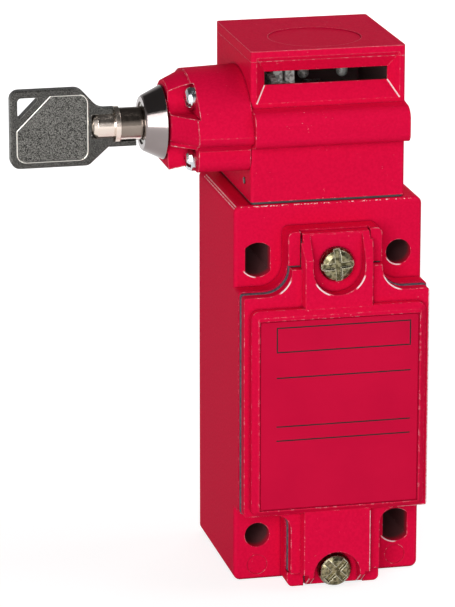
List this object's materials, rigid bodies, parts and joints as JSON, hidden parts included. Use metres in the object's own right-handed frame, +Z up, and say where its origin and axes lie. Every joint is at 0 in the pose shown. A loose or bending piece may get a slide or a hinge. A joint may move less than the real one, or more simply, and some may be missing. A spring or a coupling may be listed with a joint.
{
  "type": "key-locked safety limit switch",
  "caption": "Red die-cast safety limit switch with a slotted turret head, a key lock with its key in place, a screwed front cover and a cable entry below.",
  "frame": {"origin": "centre of the four fixing holes, on the flat back face of the body", "axes": "+X right seen from the front, +Y out of the back face into the mounting surface, +Z up to the head"},
  "size_m": [0.0841, 0.044, 0.1135],
  "materials": {
    "red_enamel": "gloss enamel on die-cast zinc alloy",
    "gasket_rubber": "matt",
    "yellow_zinc": "yellow-passivated zinc plate",
    "bright_zinc": "bright zinc plate",
    "chrome_trim": "polished",
    "lock_metal": "nickel-plated, satin",
    "hard_steel": "ground",
    "key_steel": "dark blasted with polished edges",
    "nickel_plate": "bright nickel plate",
    "cast_zinc": "as cast",
    "brass_turned": "turned",
    "pale_plastic": "moulded",
    "contact_brass": "stamped",
    "spring_wire": "drawn wire",
    "dark_plastic": "moulded"
  },
  "bodies": {
    "housing": {"body_casting": "red_enamel", "cover_gasket": "gasket_rubber", "front_cover": "red_enamel", "cover_screws": "yellow_zinc", "head_gasket": "gasket_rubber", "head_casting": "red_enamel", "head_lid": "red_enamel", "head_screws": "bright_zinc", "neck_pin": "bright_zinc", "stop_pins": "bright_zinc", "lock_housing": "red_enamel", "housing_screws": "bright_zinc", "lock_collar": "chrome_trim", "lock_barrel": "lock_metal", "lock_nut": "lock_metal", "plunger_bush": "brass_turned", "return_spring": "spring_wire", "contact_block": "dark_plastic", "fixed_contacts": "contact_brass", "terminal_clamps": "bright_zinc", "terminal_screws": "bright_zinc", "block_screws": "bright_zinc", "earth_clamp": "yellow_zinc", "earth_screw": "yellow_zinc"},
    "lock": {"lock_plug": "lock_metal", "lock_drum": "lock_metal"},
    "key": {"key_bow": "key_steel", "key_tube": "nickel_plate"},
    "bolt": {"lock_bolt": "hard_steel", "bolt_pin": "hard_steel"},
    "wheel": {"cam_shaft": "hard_steel", "star_wheel": "cast_zinc", "bolt_plate": "hard_steel", "wheel_cheek": "hard_steel", "plunger_cam": "hard_steel", "spacer_sleeve": "brass_turned"},
    "plunger": {"plunger": "hard_steel", "contact_carriage": "pale_plastic", "contact_bridges": "contact_brass", "contact_springs": "spring_wire"}
  },
  "joints": [
    {"name": "lock_turn", "type": "hinge", "parent": "housing", "child": "lock", "pos_m": [0, -0.02, 0.057], "axis": [1, 0, 0], "range_deg": [0, 90]},
    {"name": "key_pull", "type": "slide", "parent": "lock", "child": "key", "axis": [-1, 0, 0], "range_m": [0, 0.015]},
    {"name": "bolt_slide", "type": "slide", "parent": "housing", "child": "bolt", "axis": [1, 0, 0], "range_m": [0, 0.0035]},
    {"name": "cam_turn", "type": "hinge", "parent": "housing", "child": "wheel", "pos_m": [0, -0.02, 0.057], "axis": [-1, 0, 0], "range_deg": [0, 60]},
    {"name": "plunger_slide", "type": "slide", "parent": "housing", "child": "plunger", "axis": [0, 0, 1], "range_m": [0, 0.003], "deforming": ["return_spring"]}
  ],
  "couplings": [
    {"joint": "bolt_slide", "follows": "lock_turn", "m_per_rad": 0.0022282},
    {"joint": "plunger_slide", "follows": "cam_turn", "m_per_rad": 0.0028648}
  ]
}
